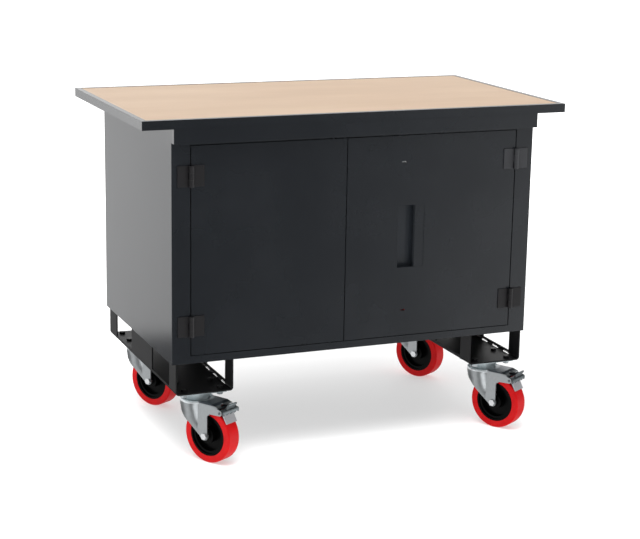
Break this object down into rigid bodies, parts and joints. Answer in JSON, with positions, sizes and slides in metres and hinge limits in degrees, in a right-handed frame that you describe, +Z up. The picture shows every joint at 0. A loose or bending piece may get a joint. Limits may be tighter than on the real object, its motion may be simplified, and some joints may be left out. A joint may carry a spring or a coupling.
{
  "type": "lockable mobile workbench",
  "caption": "Lockable mobile workbench: steel cupboard with two hinged doors under a board worktop, on two channels with swivel casters.",
  "frame": {"origin": "middle of the outline at floor level, under the wheels", "axes": "X runs along the worktop to the right, minus Y is the front with the doors, Z is up"},
  "size_m": [1.27, 0.7526, 0.975],
  "materials": {
    "paint_grey": "satin",
    "paint_black": "satin",
    "board": "satin",
    "tyre_red": "satin",
    "core_black": "matte",
    "zinc": "satin",
    "black_oxide": "matte"
  },
  "bodies": {
    "bench": {"worktop_tray": "paint_grey", "worktop_board": "board", "worktop_bolts": "zinc", "fascia": "paint_grey", "side_left": "paint_grey", "side_right": "paint_grey", "back_panel": "paint_grey", "base_panel": "paint_grey", "front_frame": "paint_grey", "shelf": "paint_grey", "shelf_brackets": "paint_grey", "skid_left": "paint_black", "skid_right": "paint_black", "caster_plates": "zinc", "caster_bolts": "black_oxide", "caster_nuts": "zinc", "kingpins": "zinc", "hinge_frame_leaves": "paint_grey", "hinge_pins": "paint_grey"},
    "left_door": {"door_left": "paint_grey", "door_left_stiffener": "paint_grey", "door_left_leaves": "paint_grey", "door_left_guides": "zinc"},
    "left_top_bolt": {"left_bolt_top": "zinc"},
    "left_bottom_bolt": {"left_bolt_bottom": "zinc"},
    "right_door": {"door_right": "paint_grey", "door_right_stiffener": "paint_grey", "door_right_leaves": "paint_grey", "door_right_handle": "paint_grey", "lock_cases": "zinc"},
    "top_barrel": {"key_barrel_top": "zinc"},
    "bottom_barrel": {"key_barrel_bottom": "zinc"},
    "top_lock_bolt": {"lock_bolt_top": "zinc"},
    "bottom_lock_bolt": {"lock_bolt_bottom": "zinc"},
    "swivel_fl": {"fork_fl": "zinc", "axle_fl": "zinc", "brake_pin_fl": "zinc"},
    "wheel_fl": {"tyre_fl": "tyre_red", "core_fl": "core_black", "bearings_fl": "zinc"},
    "brake_fl": {"pedal_fl": "zinc"},
    "brake_shoe_fl": {"shoe_fl": "zinc"},
    "swivel_fr": {"fork_fr": "zinc", "axle_fr": "zinc", "brake_pin_fr": "zinc"},
    "wheel_fr": {"tyre_fr": "tyre_red", "core_fr": "core_black", "bearings_fr": "zinc"},
    "brake_fr": {"pedal_fr": "zinc"},
    "brake_shoe_fr": {"shoe_fr": "zinc"},
    "swivel_bl": {"fork_bl": "zinc", "axle_bl": "zinc"},
    "wheel_bl": {"tyre_bl": "tyre_red", "core_bl": "core_black", "bearings_bl": "zinc"},
    "swivel_br": {"fork_br": "zinc", "axle_br": "zinc"},
    "wheel_br": {"tyre_br": "tyre_red", "core_br": "core_black", "bearings_br": "zinc"}
  },
  "joints": [
    {"name": "left_door_hinge", "type": "hinge", "parent": "bench", "child": "left_door", "pos_m": [-0.493, -0.31339, 0.609], "axis": [0, 0, -1], "range_deg": [0, 110]},
    {"name": "right_door_hinge", "type": "hinge", "parent": "bench", "child": "right_door", "pos_m": [0.493, -0.31339, 0.609], "axis": [0, 0, 1], "range_deg": [0, 110]},
    {"name": "left_top_bolt_slide", "type": "slide", "parent": "left_door", "child": "left_top_bolt", "axis": [0, 0, 1], "range_m": [0, 0.02]},
    {"name": "left_bottom_bolt_slide", "type": "slide", "parent": "left_door", "child": "left_bottom_bolt", "axis": [0, 0, -1], "range_m": [0, 0.02]},
    {"name": "top_barrel_turn", "type": "hinge", "parent": "right_door", "child": "top_barrel", "pos_m": [0.138, -0.30109, 0.825], "axis": [0, 1, 0], "range_deg": [0, 90]},
    {"name": "bottom_barrel_turn", "type": "hinge", "parent": "right_door", "child": "bottom_barrel", "pos_m": [0.146, -0.30109, 0.393], "axis": [0, 1, 0], "range_deg": [0, 90]},
    {"name": "top_lock_bolt_slide", "type": "slide", "parent": "right_door", "child": "top_lock_bolt", "axis": [0, 0, 1], "range_m": [0, 0.02]},
    {"name": "bottom_lock_bolt_slide", "type": "slide", "parent": "right_door", "child": "bottom_lock_bolt", "axis": [0, 0, -1], "range_m": [0, 0.02]},
    {"name": "swivel_turn_fl", "type": "hinge", "parent": "bench", "child": "swivel_fl", "pos_m": [-0.453, -0.24209, 0.175], "axis": [0, 0, 1], "continuous": true},
    {"name": "wheel_roll_fl", "type": "hinge", "parent": "swivel_fl", "child": "wheel_fl", "pos_m": [-0.42467, -0.28924, 0.08], "axis": [0.8572, 0.515, 0], "continuous": true},
    {"name": "pedal_press_fl", "type": "hinge", "parent": "swivel_fl", "child": "brake_fl", "pos_m": [-0.39686, -0.33552, 0.158], "axis": [0.8572, 0.515, 0], "range_deg": [0, 15]},
    {"name": "shoe_slide_fl", "type": "slide", "parent": "swivel_fl", "child": "brake_shoe_fl", "axis": [-0.3945, 0.6566, -0.6428], "range_m": [0, 0.0015]},
    {"name": "swivel_turn_fr", "type": "hinge", "parent": "bench", "child": "swivel_fr", "pos_m": [0.453, -0.24209, 0.175], "axis": [0, 0, 1], "continuous": true},
    {"name": "wheel_roll_fr", "type": "hinge", "parent": "swivel_fr", "child": "wheel_fr", "pos_m": [0.48133, -0.28924, 0.08], "axis": [0.8572, 0.515, 0], "continuous": true},
    {"name": "pedal_press_fr", "type": "hinge", "parent": "swivel_fr", "child": "brake_fr", "pos_m": [0.50914, -0.33552, 0.158], "axis": [0.8572, 0.515, 0], "range_deg": [0, 15]},
    {"name": "shoe_slide_fr", "type": "slide", "parent": "swivel_fr", "child": "brake_shoe_fr", "axis": [-0.3945, 0.6566, -0.6428], "range_m": [0, 0.0015]},
    {"name": "swivel_turn_bl", "type": "hinge", "parent": "bench", "child": "swivel_bl", "pos_m": [-0.453, 0.29991, 0.175], "axis": [0, 0, 1], "continuous": true},
    {"name": "wheel_roll_bl", "type": "hinge", "parent": "swivel_bl", "child": "wheel_bl", "pos_m": [-0.42467, 0.25276, 0.08], "axis": [0.8572, 0.515, 0], "continuous": true},
    {"name": "swivel_turn_br", "type": "hinge", "parent": "bench", "child": "swivel_br", "pos_m": [0.453, 0.29991, 0.175], "axis": [0, 0, 1], "continuous": true},
    {"name": "wheel_roll_br", "type": "hinge", "parent": "swivel_br", "child": "wheel_br", "pos_m": [0.48133, 0.25276, 0.08], "axis": [0.8572, 0.515, 0], "continuous": true}
  ],
  "couplings": [
    {"joint": "top_lock_bolt_slide", "follows": "top_barrel_turn", "m_per_rad": 0.012732},
    {"joint": "bottom_lock_bolt_slide", "follows": "bottom_barrel_turn", "m_per_rad": 0.012732},
    {"joint": "shoe_slide_fl", "follows": "pedal_press_fl", "m_per_rad": 0.0057296},
    {"joint": "shoe_slide_fr", "follows": "pedal_press_fr", "m_per_rad": 0.0057296}
  ]
}
